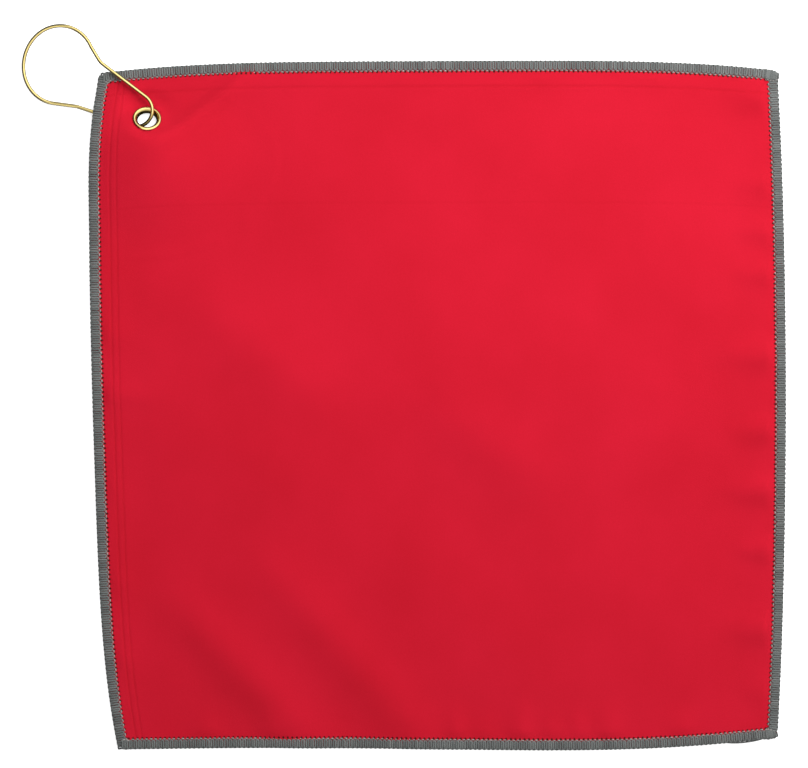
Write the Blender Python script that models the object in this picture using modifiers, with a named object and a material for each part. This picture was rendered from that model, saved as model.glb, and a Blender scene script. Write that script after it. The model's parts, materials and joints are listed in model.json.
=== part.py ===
"""Golf towel: a square of microfibre cloth with an overlocked edge on all four
sides, a brass eyelet and washer set in one corner, and a sprung brass wire hook
threaded through the eyelet.

Metres, +Z up. The towel lies face up on z = 0 and the origin is the middle of
its underside. The hooked corner is at -X, +Y.
"""
import math

import bmesh
import bpy
from mathutils import Matrix, Vector

MM = 0.001

# Towel
HALF_WIDTH = 192.0 * MM
HALF_HEIGHT = 190.8 * MM
CLOTH_THICKNESS = 1.0 * MM
FIT_GAP = 0.3 * MM
END_GAP = 0.3 * MM
CROSSING_GAP = 0.6 * MM

# How far each corner is drawn in from the towel's own rectangle, as (x, y)
TOP_LEFT_PULL = (4.5 * MM, 7.2 * MM)
TOP_RIGHT_PULL = (4.0 * MM, 5.6 * MM)
BOTTOM_LEFT_PULL = (15.1 * MM, 0.3 * MM)
BOTTOM_RIGHT_PULL = (4.0 * MM, 6.7 * MM)
# How far each edge bows out between its corners
LEFT_BOW = 8.5 * MM
RIGHT_BOW = 4.4 * MM
TOP_BOW = 6.2 * MM
BOTTOM_BOW = 4.9 * MM
FLAT_BOW = 4.0
ROUND_BOW = 2.5
BOTTOM_BOW_SKEW = 2.2

# Overlocked edge
LOOPER_WIDTH = 5.2 * MM
LOOPER_THICKNESS = 0.45 * MM
RIM_WIDTH = 0.6 * MM
NEEDLE_WIDTH = 0.6 * MM
TAIL_LENGTH = 1.2 * MM

# Eyelet and washer, in a corner of the towel
GROMMET_INSET_X = 31.4 * MM
GROMMET_INSET_Y = 33.0 * MM
GROMMET_RADIUS = 7.9 * MM
GROMMET_HEADING = math.radians(-12)
GROMMET_TILT = math.radians(30)
GROMMET_FLOOR_GAP = 0.9 * MM
THROAT_RADIUS = 5.2 * MM
EYELET_WALL = 0.5 * MM
WASHER_THICKNESS = 0.35 * MM
FLANGE_HEIGHT = 0.85 * MM
LIP_THICKNESS = 0.35 * MM
LIP_WIDTH = 1.2 * MM

# Wire hook, in its own plane: A runs from the bulb to the eyelet, B across it
WIRE_RADIUS = 0.9 * MM
HOOK_HEADING = math.radians(-32.0)
HOOK_REST_ROLL = math.radians(6)
BULB_RADIUS = 20.65 * MM
BULB_OVAL = 0.85 * MM
BULB_OVAL_ANGLE = math.radians(105)
BULB_TO_EYELET = 57.9 * MM
FRONT_LEAVES_AT = 60
BACK_LEAVES_AT = 295
FRONT_KINK = (19.3 * MM, 13.25 * MM)
BACK_KINK = (20.5 * MM, -14.4 * MM)
KINK_RADIUS = 6.0 * MM
TURN_CENTRE = (50.0 * MM, 1.25 * MM)
TURN_RADIUS = 9.1 * MM
FRONT_LEG_SLOPE = 5.5
PIN_END = 37.0 * MM
CATCH_PLACE = 38.9 * MM
CATCH_BEND = 1.3 * MM
CATCH_TAIL = 0.6 * MM
CATCH_GAP = 0.35 * MM
CROWN_GAP = 0.3 * MM
CROWN_LEAD = 1.5

# Swell of the cloth over the hook's back leg
SWELL_OFFSET = (-15.0 * MM, -1.5 * MM)
SWELL_LENGTH = 17.0 * MM
SWELL_WIDTH = 10.5 * MM
SWELL_CLEARANCE = 0.45 * MM
FLAT_AROUND_GROMMET = 2.6 * MM
GROMMET_BLEND = 9.0 * MM
SETTLE_LENGTH = 24.0 * MM
SWELL_TRACE = 0.02 * MM
FLOOR_CLEARANCE = 0.1 * MM
FLOOR_SOFTNESS = 0.3 * MM

# Grid of the cloth
FINE_REACH = 62.0 * MM
FINE_STEP = 2.6 * MM
COARSE_STEP = 29.0 * MM

# Heights of the overlocked edge above and below the middle of the cloth
SEAM_INNER = CLOTH_THICKNESS / 2 + FIT_GAP
SEAM_OUTER = SEAM_INNER + LOOPER_THICKNESS
CLOTH_INSET = RIM_WIDTH + END_GAP
NEEDLE_INSET = LOOPER_WIDTH + END_GAP
SEAM_DEPTH = NEEDLE_INSET + NEEDLE_WIDTH
CROSSING_INSET = SEAM_DEPTH + CROSSING_GAP

# The eyelet stands clear of the floor on its low side
WASHER_TOP = -SEAM_INNER
WASHER_BOTTOM = WASHER_TOP - WASHER_THICKNESS
GROMMET = Vector((
    GROMMET_INSET_X - HALF_WIDTH,
    HALF_HEIGHT - GROMMET_INSET_Y,
    GROMMET_RADIUS * math.sin(GROMMET_TILT)
    - WASHER_BOTTOM * math.cos(GROMMET_TILT)
    + GROMMET_FLOOR_GAP,
))


def bulb_radius(angle):
    """Radius of the hook's slightly oval bulb at an angle in its own plane."""
    return BULB_RADIUS + BULB_OVAL * math.cos(2 * (angle - BULB_OVAL_ANGLE))


def hook_pitch():
    """Slope up to the eyelet of a hook whose bulb rests on the floor."""
    pitch = 0.0
    for _ in range(30):
        dip = BULB_RADIUS * math.hypot(math.sin(pitch), math.sin(HOOK_REST_ROLL))
        pitch = math.asin((GROMMET.z - WIRE_RADIUS - dip) / BULB_TO_EYELET)
    return pitch


CROWN = bulb_radius(math.pi)
AXIS_TURN = Matrix.Rotation(HOOK_HEADING, 3, "Z") @ Matrix.Rotation(-hook_pitch(), 3, "Y")
HOOK_TURN = AXIS_TURN @ Matrix.Rotation(HOOK_REST_ROLL, 3, "X")
GROMMET_TURN = Matrix.Rotation(GROMMET_HEADING, 3, "Z") @ Matrix.Rotation(-GROMMET_TILT, 3, "X")
WIRE_REACH = 2 * WIRE_RADIUS + CATCH_GAP
PIN_B = TURN_CENTRE[1] - TURN_RADIUS


def clear_scene():
    for thing in list(bpy.data.objects):
        bpy.data.objects.remove(thing, do_unlink=True)


def new_collection(name):
    collection = bpy.data.collections.new(name)
    bpy.context.scene.collection.children.link(collection)
    return collection


def new_material(name, colour, roughness, metallic):
    material = bpy.data.materials.new(name)
    material.use_nodes = True
    shader = material.node_tree.nodes["Principled BSDF"]
    shader.inputs["Base Color"].default_value = (*colour, 1.0)
    shader.inputs["Roughness"].default_value = roughness
    shader.inputs["Metallic"].default_value = metallic
    return material


def add_object(name, data, collection, material=None):
    obj = bpy.data.objects.new(name, data)
    collection.objects.link(obj)
    if material:
        data.materials.append(material)
    return obj


def hide_helper(obj):
    obj.hide_render = True
    obj.display_type = "WIRE"


# ---------------------------------------------------------------- outline

def bow(place, power):
    return 1 - min(abs(place), 1.0) ** power


def mix(low, high, place):
    """Value at place, which runs from -1 at low to 1 at high."""
    return low + (high - low) * (place + 1) / 2


def outline_point(across, up):
    """Point of the towel at (across, up), each from -1 to 1 between its edges."""
    left = mix(BOTTOM_LEFT_PULL[0], TOP_LEFT_PULL[0], up) - HALF_WIDTH
    left -= LEFT_BOW * bow(up, FLAT_BOW)
    right = HALF_WIDTH - mix(BOTTOM_RIGHT_PULL[0], TOP_RIGHT_PULL[0], up)
    right += RIGHT_BOW * bow(up, ROUND_BOW)
    top = HALF_HEIGHT - mix(TOP_LEFT_PULL[1], TOP_RIGHT_PULL[1], across)
    top += TOP_BOW * bow(across, FLAT_BOW)
    bottom = mix(BOTTOM_LEFT_PULL[1], BOTTOM_RIGHT_PULL[1], across) - HALF_HEIGHT
    share = min(max((across + 1) / 2, 0.0), 1.0)
    bottom -= BOTTOM_BOW * math.sin(math.pi * share ** BOTTOM_BOW_SKEW)
    return mix(left, right, across), mix(bottom, top, up)


def across_at(inset):
    """Place from -1 to 1 that lies an inset in from the right edge."""
    return 1 - inset / HALF_WIDTH


def up_at(inset):
    """Place from -1 to 1 that lies an inset in from the top edge."""
    return 1 - inset / HALF_HEIGHT


# ---------------------------------------------------------------- height

def smooth(share):
    share = min(max(share, 0.0), 1.0)
    return share * share * (3 - 2 * share)


def hook_point(along, aside, above=0.0):
    """World point of a place in the hook's plane, measured from the bulb's centre."""
    return GROMMET + HOOK_TURN @ Vector((along - BULB_TO_EYELET, aside, above))


def swell_share(x, y):
    far_x = (x - GROMMET.x - SWELL_OFFSET[0]) / SWELL_LENGTH
    far_y = (y - GROMMET.y - SWELL_OFFSET[1]) / SWELL_WIDTH
    return math.exp(-(far_x ** 2 + far_y ** 2) / 2)


def edge_crossing():
    """Where the hook's back leg passes under the left edge of the towel."""
    kink = hook_point(*BACK_KINK)
    catch = hook_point(CATCH_PLACE, PIN_B - WIRE_REACH)
    edge_x = outline_point(-1, GROMMET.y / HALF_HEIGHT)[0] + LOOPER_WIDTH / 2
    return kink.lerp(catch, (edge_x - kink.x) / (catch.x - kink.x))


CROSSING = edge_crossing()
SWELL_HEIGHT = (
    CROSSING.z + WIRE_RADIUS + SWELL_CLEARANCE
) / swell_share(CROSSING.x + LOOPER_WIDTH / 2, CROSSING.y)


def tilted_height(x, y):
    """Height of the eyelet's own tilted plane."""
    normal = GROMMET_TURN @ Vector((0, 0, 1))
    return GROMMET.z - (normal.x * (x - GROMMET.x) + normal.y * (y - GROMMET.y)) / normal.z


def cloth_height(across, up):
    """Height of the middle of the cloth. It is level across each overlocked edge."""
    across_limit = across_at(CROSSING_INSET)
    up_limit = up_at(CROSSING_INSET)
    x, y = outline_point(across, up)
    x = min(max(x, outline_point(-across_limit, up)[0]), outline_point(across_limit, up)[0])
    y = min(max(y, outline_point(across, -up_limit)[1]), outline_point(across, up_limit)[1])
    inset = min((1 - abs(across)) * HALF_WIDTH, (1 - abs(up)) * HALF_HEIGHT)
    settle = smooth((inset - CROSSING_INSET) / SETTLE_LENGTH)
    rest = SEAM_OUTER + (CLOTH_THICKNESS / 2 - SEAM_OUTER) * settle
    level = rest + SWELL_HEIGHT * swell_share(x, y)
    reach = math.hypot(x - GROMMET.x, y - GROMMET.y)
    flat_reach = GROMMET_RADIUS + FLAT_AROUND_GROMMET
    if reach >= flat_reach + GROMMET_BLEND:
        return level if level > rest + SWELL_TRACE else rest
    away = smooth((reach - flat_reach) / GROMMET_BLEND)
    height = tilted_height(x, y) * (1 - away) + level * away
    floor = CLOTH_THICKNESS / 2 + FLOOR_CLEARANCE
    over = height - floor
    return (height + floor + math.sqrt(over ** 2 + FLOOR_SOFTNESS ** 2)) / 2


# ---------------------------------------------------------------- cloth

def stations(half_size, sign):
    """Places from -1 to 1 of the grid lines, close together near the hooked corner."""
    fine = max(2, round(FINE_REACH / FINE_STEP))
    coarse = max(2, round((2 * half_size - FINE_REACH) / COARSE_STEP))
    turn = FINE_REACH / half_size - 1
    places = [-1 + (turn + 1) * step / fine for step in range(fine)]
    places += [turn + (1 - turn) * step / coarse for step in range(coarse)]
    places += [1 - CROSSING_INSET / half_size, 1.0]
    return places if sign > 0 else [-place for place in reversed(places)]


ACROSS_STATIONS = stations(HALF_WIDTH, 1)
UP_STATIONS = stations(HALF_HEIGHT, -1)


def surface_point(across, up):
    return Vector((*outline_point(across, up), cloth_height(across, up)))


def make_cloth(collection, helpers, material):
    across_count = len(ACROSS_STATIONS) - 1
    up_count = len(UP_STATIONS) - 1
    across_share = across_at(CLOTH_INSET)
    up_share = up_at(CLOTH_INSET)
    bm = bmesh.new()
    bmesh.ops.create_grid(bm, x_segments=across_count, y_segments=up_count, size=1)
    for vertex in bm.verts:
        column = round((vertex.co.x + 1) / 2 * across_count)
        row = round((vertex.co.y + 1) / 2 * up_count)
        vertex.co = surface_point(
            ACROSS_STATIONS[column] * across_share, UP_STATIONS[row] * up_share
        )
    mesh = bpy.data.meshes.new("towel_cloth")
    bm.to_mesh(mesh)
    bm.free()
    cloth = add_object("towel_cloth", mesh, collection, material)
    solidify = cloth.modifiers.new("thickness", "SOLIDIFY")
    solidify.thickness = CLOTH_THICKNESS
    solidify.offset = 0
    punch = make_punch(helpers)
    hole = cloth.modifiers.new("eyelet_hole", "BOOLEAN")
    hole.operation = "DIFFERENCE"
    hole.object = punch
    return cloth


def make_punch(helpers):
    """Cutter for the hole that the eyelet's barrel passes through."""
    bm = bmesh.new()
    radius = THROAT_RADIUS + EYELET_WALL + END_GAP
    bmesh.ops.create_cone(
        bm, cap_ends=True, segments=32, radius1=radius, radius2=radius, depth=0.02
    )
    mesh = bpy.data.meshes.new("eyelet_punch")
    bm.to_mesh(mesh)
    bm.free()
    punch = add_object("eyelet_punch", mesh, helpers)
    punch.matrix_world = Matrix.Translation(GROMMET) @ GROMMET_TURN.to_4x4()
    hide_helper(punch)
    return punch


# ---------------------------------------------------------------- overlock

def between(places, start, end):
    """The grid places that lie between start and end, with both ends added."""
    spare = 1e-4
    inside = [place for place in places if start + spare < place < end - spare]
    return [start, *inside, end]


def edge_runs():
    """Each edge's stitched line, through the cloth's own grid lines."""
    crossing_across = across_at(CROSSING_INSET)
    crossing_up = up_at(CROSSING_INSET)
    tail = across_at(-TAIL_LENGTH)
    columns = [place * across_at(CLOTH_INSET) for place in ACROSS_STATIONS]
    rows = [place * up_at(CLOTH_INSET) for place in UP_STATIONS]
    top = between(columns, -crossing_across, tail)
    left = between(rows, -1, 1)
    right = between(rows, -crossing_up, crossing_up)
    return {
        "top": [(place, 1) for place in reversed(top)],
        "bottom": [(place, -1) for place in top],
        "left": [(-1, place) for place in reversed(left)],
        "right": [(1, place) for place in right],
    }


def make_profile(name, corners, helpers):
    """Closed flat outline that a seam is swept with: x inwards from the edge, y up."""
    curve = bpy.data.curves.new(name, "CURVE")
    curve.dimensions = "2D"
    spline = curve.splines.new("POLY")
    spline.points.add(len(corners) - 1)
    for point, (inwards, up) in zip(spline.points, reversed(corners)):
        point.co = (-inwards, up, 0, 1)
    spline.use_cyclic_u = True
    profile = add_object(name, curve, helpers)
    hide_helper(profile)
    return profile


def make_strip(name, run, profile, collection, material):
    curve = bpy.data.curves.new(name, "CURVE")
    curve.dimensions = "3D"
    curve.twist_mode = "Z_UP"
    curve.bevel_mode = "OBJECT"
    curve.bevel_object = profile
    curve.use_fill_caps = True
    spline = curve.splines.new("POLY")
    spline.points.add(len(run) - 1)
    for point, place in zip(spline.points, run):
        point.co = (*surface_point(*place), 1)
    return add_object(name, curve, collection, material)


def box_outline(inner, outer, low, high):
    return [(outer, low), (outer, high), (inner, high), (inner, low)]


def make_overlock(collection, helpers, material):
    top_low = SEAM_INNER
    top_high = SEAM_OUTER
    upper = make_profile("upper_looper_outline", [
        (0, -top_high), (0, top_high), (LOOPER_WIDTH, top_high),
        (LOOPER_WIDTH, top_low), (RIM_WIDTH, top_low), (RIM_WIDTH, -top_high),
    ], helpers)
    lower = make_profile("lower_looper_outline", box_outline(
        LOOPER_WIDTH, CLOTH_INSET, -top_high, -top_low), helpers)
    needle = make_profile("needle_outline", box_outline(
        SEAM_DEPTH, NEEDLE_INSET, top_low, top_high), helpers)
    for side, run in edge_runs().items():
        make_strip(f"upper_looper_thread_{side}", run, upper, collection, material)
        make_strip(f"lower_looper_thread_{side}", run, lower, collection, material)
        make_strip(f"needle_thread_{side}", run, needle, collection, material)


# ---------------------------------------------------------------- grommet

def turned(name, outline, steps, collection, material):
    """Ring turned about the eyelet's own axis from (radius, height) points."""
    bm = bmesh.new()
    points = [bm.verts.new((radius, 0, height)) for radius, height in outline]
    for first, second in zip(points, points[1:] + points[:1]):
        bm.edges.new((first, second))
    mesh = bpy.data.meshes.new(name)
    bm.to_mesh(mesh)
    bm.free()
    ring = add_object(name, mesh, collection, material)
    screw = ring.modifiers.new("turn", "SCREW")
    screw.steps = steps
    screw.render_steps = steps
    screw.use_merge_vertices = True
    screw.merge_threshold = 0.00001
    screw.use_smooth_shade = True
    ring.matrix_world = Matrix.Translation(GROMMET) @ GROMMET_TURN.to_4x4()
    return ring


def make_grommet(collection, material):
    flange = SEAM_INNER
    crest = flange + FLANGE_HEIGHT
    barrel = THROAT_RADIUS + EYELET_WALL
    washer_hole = barrel + END_GAP
    lip_top = WASHER_BOTTOM - FIT_GAP
    lip_bottom = lip_top - LIP_THICKNESS
    rim = GROMMET_RADIUS
    turned("grommet_eyelet", [
        (THROAT_RADIUS + 0.3 * MM, crest - 0.2 * MM),
        (barrel + 0.5 * MM, crest),
        (rim - 1.0 * MM, crest - 0.15 * MM),
        (rim - 0.2 * MM, crest - 0.55 * MM),
        (rim, flange + 0.1 * MM),
        (rim - 0.3 * MM, flange),
        (barrel, flange),
        (barrel, lip_top),
        (barrel + LIP_WIDTH, lip_top),
        (barrel + LIP_WIDTH, lip_top - LIP_THICKNESS / 2),
        (barrel + LIP_WIDTH / 2, lip_bottom),
        (THROAT_RADIUS + 0.4 * MM, lip_bottom),
        (THROAT_RADIUS, lip_top),
        (THROAT_RADIUS, flange),
    ], 32, collection, material)
    turned("grommet_washer", [
        (washer_hole, WASHER_TOP),
        (rim - 0.4 * MM, WASHER_TOP),
        (rim, WASHER_TOP - WASHER_THICKNESS / 2),
        (rim - 0.4 * MM, WASHER_BOTTOM),
        (washer_hole, WASHER_BOTTOM),
    ], 32, collection, material)


# ---------------------------------------------------------------- hook

def bulb_point(degrees):
    angle = math.radians(degrees)
    radius = bulb_radius(angle)
    return Vector((radius * math.cos(angle), radius * math.sin(angle), 0))


def rounded_corner(before, corner, after, radius, steps=4):
    """Points of the arc that rounds a corner between two straight runs."""
    back = (before - corner).normalized()
    onward = (after - corner).normalized()
    half = back.angle(onward) / 2
    reach = radius / math.tan(half)
    middle = (back + onward).normalized()
    centre = corner + middle * (radius / math.sin(half))
    start = corner + back * reach - centre
    sweep = math.pi - 2 * half
    axis = start.cross(corner + onward * reach - centre).normalized()
    return [
        centre + Matrix.Rotation(sweep * step / steps, 3, axis) @ start
        for step in range(steps + 1)
    ]


def spaced(start, end, count):
    """Points along a straight run, without its two ends."""
    return [start.lerp(end, step / count) for step in range(1, count)]


def bulb_arc(leaves_at, steps=10):
    """Half of the bulb, from beside the crown to where its leg leaves it."""
    side = 1 if leaves_at > 180 else -1
    start = 180 + side * math.degrees(CROWN_GAP / 2 / CROWN)
    square_end = start + side * CROWN_LEAD
    arc = [
        bulb_point(square_end + (leaves_at - square_end) * step / steps)
        for step in range(steps + 1)
    ]
    return [bulb_point(start), *arc]


def front_route():
    """Crown, upper half of the bulb, upper leg, turn through the eyelet, pin."""
    points = bulb_arc(FRONT_LEAVES_AT)
    centre = Vector((*TURN_CENTRE, 0))
    turn_steps = 12
    turn = []
    for step in range(turn_steps + 1):
        angle = math.radians(mix(90 - FRONT_LEG_SLOPE, -90, 2 * step / turn_steps - 1))
        turn.append(centre + TURN_RADIUS * Vector((math.cos(angle), math.sin(angle), 0)))
    kink = Vector((*FRONT_KINK, 0))
    bend = rounded_corner(points[-1], kink, turn[0], KINK_RADIUS)
    points += bend + spaced(bend[-1], turn[0], 5) + turn
    end = Vector((PIN_END, PIN_B, 0))
    return points + spaced(turn[-1], end, 3) + [end]


def back_route():
    """Crown, lower half of the bulb, lower leg, catch that crooks under the pin."""
    points = bulb_arc(BACK_LEAVES_AT)
    above = 2 * CATCH_BEND - WIRE_REACH
    leg_end = Vector((CATCH_PLACE, PIN_B - WIRE_REACH, above))
    kink = Vector((*BACK_KINK, 0))
    bend = rounded_corner(points[-1], kink, leg_end, KINK_RADIUS)
    points += bend + spaced(bend[-1], leg_end, 4) + [leg_end]
    for step in range(1, 4):
        angle = math.radians(30 * step)
        drop = 1 - math.cos(angle)
        points.append(leg_end + CATCH_BEND * Vector((math.sin(angle), 0, -drop)))
    heel = points[-1]
    for step in range(1, 4):
        angle = math.radians(30 * step)
        aside = 1 - math.cos(angle)
        points.append(heel + CATCH_BEND * Vector((0, aside, -math.sin(angle))))
    tail = points[-1].copy()
    tail.y = PIN_B + CATCH_TAIL
    return points + [tail]


def add_axis(name, collection, matrix, parent=None):
    axis = bpy.data.objects.new(name, None)
    collection.objects.link(axis)
    axis.empty_display_size = 0.01
    axis.parent = parent
    axis.matrix_local = matrix
    return axis


def make_wire(name, route, origin, parent, collection, material):
    curve = bpy.data.curves.new(name, "CURVE")
    curve.dimensions = "3D"
    curve.bevel_depth = WIRE_RADIUS
    curve.bevel_resolution = 2
    curve.use_fill_caps = True
    spline = curve.splines.new("POLY")
    spline.points.add(len(route) - 1)
    for point, place in zip(spline.points, route):
        point.co = (*(place - origin), 1)
        point.radius = 1
    wire = add_object(name, curve, collection, material)
    wire.parent = parent
    return wire


def make_hook(collection, material):
    eyelet = Vector((BULB_TO_EYELET, 0, 0))
    crown = Vector((-CROWN, 0, 0))
    roll = add_axis(
        "hook_roll_axis", collection, Matrix.Translation(GROMMET) @ HOOK_TURN.to_4x4()
    )
    spring = add_axis(
        "hook_spring_axis", collection, Matrix.Translation(crown - eyelet), roll
    )
    make_wire("hook_wire_front", front_route(), eyelet, roll, collection, material)
    make_wire("hook_wire_back", back_route(), crown, spring, collection, material)


def main():
    clear_scene()
    collection = new_collection("golf_towel")
    helpers = new_collection("cutters_and_outlines")
    cloth = new_material("red_microfibre", (0.68, 0.012, 0.030), 0.85, 0.0)
    thread = new_material("grey_overlock_thread", (0.17, 0.18, 0.175), 0.8, 0.0)
    brass = new_material("bright_brass", (0.72, 0.55, 0.20), 0.25, 1.0)
    make_cloth(collection, helpers, cloth)
    make_overlock(collection, helpers, thread)
    make_grommet(collection, brass)
    make_hook(collection, brass)


main()
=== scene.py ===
# %% [markdown]
# # A golf towel with a brass hook
# This lesson dresses a finished CAD model of a golf towel: a square of red
# microfibre cloth with a grey overlocked edge, a brass eyelet in one corner, and a
# sprung brass wire hook through it. The CAD model is the fixed frame. It says where
# every piece is, so each piece below is made in the same metres, with +Z up, and
# then rides on the CAD body that it belongs to.

# %% Load the frame
import json
import math

import bmesh
import bpy
import numpy as np
from mathutils import Matrix, Vector


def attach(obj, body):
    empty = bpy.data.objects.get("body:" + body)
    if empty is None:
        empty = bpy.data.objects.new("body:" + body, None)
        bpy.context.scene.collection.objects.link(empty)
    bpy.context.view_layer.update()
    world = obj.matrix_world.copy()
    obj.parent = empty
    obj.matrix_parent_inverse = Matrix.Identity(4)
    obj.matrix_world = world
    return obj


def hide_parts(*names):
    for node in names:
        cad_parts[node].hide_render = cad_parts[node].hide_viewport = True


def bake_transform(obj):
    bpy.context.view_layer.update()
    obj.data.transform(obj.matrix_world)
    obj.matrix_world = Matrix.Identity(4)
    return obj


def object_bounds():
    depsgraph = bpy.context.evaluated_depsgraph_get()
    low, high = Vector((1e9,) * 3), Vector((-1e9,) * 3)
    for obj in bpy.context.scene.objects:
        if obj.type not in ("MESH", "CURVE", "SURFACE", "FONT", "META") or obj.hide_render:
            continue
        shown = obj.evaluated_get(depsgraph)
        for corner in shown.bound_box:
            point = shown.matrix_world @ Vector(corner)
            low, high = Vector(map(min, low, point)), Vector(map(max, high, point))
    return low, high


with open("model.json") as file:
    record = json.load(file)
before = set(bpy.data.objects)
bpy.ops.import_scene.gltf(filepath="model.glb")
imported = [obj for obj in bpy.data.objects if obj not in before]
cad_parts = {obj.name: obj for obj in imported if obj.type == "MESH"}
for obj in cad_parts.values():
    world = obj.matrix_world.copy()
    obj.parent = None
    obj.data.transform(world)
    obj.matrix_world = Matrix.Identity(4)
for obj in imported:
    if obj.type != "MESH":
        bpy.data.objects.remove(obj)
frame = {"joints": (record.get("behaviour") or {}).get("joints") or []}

MM = 0.001


def placed(name, data):
    """A new object at the origin, linked to the scene."""
    made = bpy.data.objects.new(name, data)
    bpy.context.scene.collection.objects.link(made)
    return made


def row_mesh(name, points, **numbers):
    """Mesh of a row of points joined in turn, with named numbers kept on each point."""
    mesh = bpy.data.meshes.new(name)
    mesh.from_pydata(points, [(index, index + 1) for index in range(len(points) - 1)], [])
    for label, values in numbers.items():
        mesh.attributes.new(label, "FLOAT", "POINT").data.foreach_set("value", values)
    return mesh


cad_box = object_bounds()
print("CAD box", [tuple(round(value, 4) for value in corner) for corner in cad_box])

# %% [markdown]
# ## Where the hook and the eyelet are
# The record keeps the two joints of the hook. The first is the line along the hook
# through the middle of the eyelet, and the second is the spring at the far end of
# the hook's round bulb. From these come the hook's own directions: along it, across
# it and above it. Reading them here means that nothing has to be fitted by eye.

# %% Directions of the hook
joints = {joint["name"]: joint for joint in frame["joints"]}
GROMMET = Vector(joints["hook_roll"]["pos_m"])
HOOK_ALONG = Vector(joints["hook_roll"]["axis"]).normalized()
HOOK_ABOVE = -Vector(joints["hook_opening"]["axis"]).normalized()
HOOK_ASIDE = HOOK_ABOVE.cross(HOOK_ALONG).normalized()
BULB_TO_EYELET = 57.9 * MM


def hook_point(along, aside, above=0.0):
    """Point of the hook's plane, measured from the middle of its bulb."""
    along -= BULB_TO_EYELET
    return GROMMET + HOOK_ALONG * along + HOOK_ASIDE * aside + HOOK_ABOVE * above


print("bulb centre", [round(value, 4) for value in hook_point(0, 0)])

# %% [markdown]
# ## The outline of the towel
# A towel that has been sewn and washed is never a true square: its corners are drawn
# in and its edges bow out between them. A place on the towel is written as (across,
# up), each from -1 to 1, and one formula bends those places into the real outline.
# The formula is the CAD model's own, so the dressed cloth lands on the same edge.
# It works on whole arrays of places, which keeps tens of thousands of points quick.

# %% Outline
HALF_WIDTH = 192.0 * MM
HALF_HEIGHT = 190.8 * MM
TOP_LEFT_PULL = (4.5 * MM, 7.2 * MM)
TOP_RIGHT_PULL = (4.0 * MM, 5.6 * MM)
BOTTOM_LEFT_PULL = (15.1 * MM, 0.3 * MM)
BOTTOM_RIGHT_PULL = (4.0 * MM, 6.7 * MM)
LEFT_BOW = 8.5 * MM
RIGHT_BOW = 4.4 * MM
TOP_BOW = 6.2 * MM
BOTTOM_BOW = 4.9 * MM
FLAT_BOW = 4.0
ROUND_BOW = 2.5
BOTTOM_BOW_SKEW = 2.2


def bow(place, power):
    return 1 - np.minimum(np.abs(place), 1.0) ** power


def mix(low, high, place):
    """Value at place, which runs from -1 at low to 1 at high."""
    return low + (high - low) * (place + 1) / 2


def outline(across, up):
    """x and y of the places (across, up) of the towel."""
    left = mix(BOTTOM_LEFT_PULL[0], TOP_LEFT_PULL[0], up) - HALF_WIDTH
    left = left - LEFT_BOW * bow(up, FLAT_BOW)
    right = HALF_WIDTH - mix(BOTTOM_RIGHT_PULL[0], TOP_RIGHT_PULL[0], up)
    right = right + RIGHT_BOW * bow(up, ROUND_BOW)
    top = HALF_HEIGHT - mix(TOP_LEFT_PULL[1], TOP_RIGHT_PULL[1], across)
    top = top + TOP_BOW * bow(across, FLAT_BOW)
    bottom = mix(BOTTOM_LEFT_PULL[1], BOTTOM_RIGHT_PULL[1], across) - HALF_HEIGHT
    share = np.clip((across + 1) / 2, 0.0, 1.0)
    bottom = bottom - BOTTOM_BOW * np.sin(math.pi * share ** BOTTOM_BOW_SKEW)
    return mix(left, right, across), mix(bottom, top, up)


print("corner at top left", [round(float(value), 4) for value in outline(-1.0, 1.0)])

# %% [markdown]
# ## How high the cloth lies
# The cloth lies on the table, a little higher along its thick overlocked edge, and it
# swells up in the hooked corner, where the hook's lower leg passes under it and the
# eyelet stands tilted. These are the CAD model's heights again. What the CAD model
# leaves out is added in the next step.

# %% Heights from the frame
CLOTH_THICKNESS = 1.0 * MM
SEAM_OUTER = 1.25 * MM
SEAM_WIDTH = 5.2 * MM
CROSSING_INSET = 6.7 * MM
SETTLE_LENGTH = 24.0 * MM
WIRE_RADIUS = 0.9 * MM
GROMMET_RADIUS = 7.9 * MM
GROMMET_HEADING = math.radians(-12)
GROMMET_TILT = math.radians(30)
FLAT_AROUND_GROMMET = 2.6 * MM
TILT_REACH = 11.5 * MM
GROMMET_BLEND = 9.0 * MM
OPEN_BLEND = 58.0 * MM
OPEN_BEARING = math.radians(-75)
SWELL_OFFSET = (-15.0 * MM, -1.5 * MM)
SWELL_LENGTH = 17.0 * MM
SWELL_WIDTH = 10.5 * MM
SWELL_CLEARANCE = 0.45 * MM
FLOOR_CLEARANCE = 0.1 * MM
FLOOR_SOFTNESS = 0.3 * MM
FRONT_KINK = (19.3 * MM, 13.25 * MM)
BACK_KINK = (20.5 * MM, -14.4 * MM)
TURN_CENTRE = (50.0 * MM, 1.25 * MM)
TURN_RADIUS = 9.1 * MM
PIN_B = TURN_CENTRE[1] - TURN_RADIUS
CATCH_PLACE = 38.9 * MM
WIRE_REACH = 2 * WIRE_RADIUS + 0.35 * MM
GROMMET_TURN = Matrix.Rotation(GROMMET_HEADING, 3, "Z") @ Matrix.Rotation(-GROMMET_TILT, 3, "X")
GROMMET_NORMAL = GROMMET_TURN @ Vector((0, 0, 1))


def smooth(share):
    share = np.clip(share, 0.0, 1.0)
    return share * share * (3 - 2 * share)


def swell_share(x, y):
    far_x = (x - GROMMET.x - SWELL_OFFSET[0]) / SWELL_LENGTH
    far_y = (y - GROMMET.y - SWELL_OFFSET[1]) / SWELL_WIDTH
    return np.exp(-(far_x ** 2 + far_y ** 2) / 2)


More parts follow.
